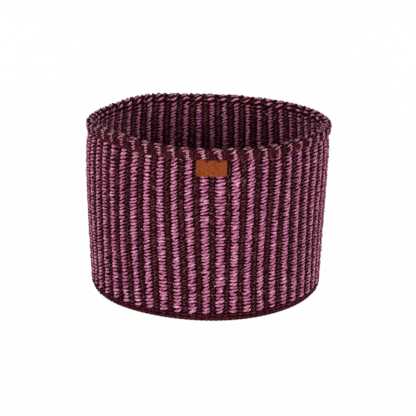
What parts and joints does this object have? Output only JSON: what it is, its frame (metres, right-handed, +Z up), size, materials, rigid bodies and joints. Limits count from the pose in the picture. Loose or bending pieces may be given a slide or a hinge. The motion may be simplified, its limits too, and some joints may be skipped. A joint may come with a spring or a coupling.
{
  "type": "woven basket",
  "caption": "Round open basket twined in upright stripes of two yarn colours, with a dark base, an overcast rim roll and a small bare leather tab under the rim.",
  "frame": {"origin": "middle of the flat underside, on the surface that the basket stands on", "axes": "+Z up through the open mouth, -Y towards the side with the leather tab"},
  "size_m": [0.2889, 0.2891, 0.2],
  "materials": {
    "dark_yarn": "matte",
    "pink_yarn": "matte",
    "warp_fibre": "matte",
    "tan_leather": "satin"
  },
  "bodies": {
    "root": {"base_weave": "dark_yarn", "dark_weft": "dark_yarn", "warps": "warp_fibre", "pink_weft": "pink_yarn", "rim_core": "warp_fibre", "rim_pink_strand": "pink_yarn", "rim_dark_strand": "dark_yarn", "leather_tab": "tan_leather"}
  },
  "joints": []
}
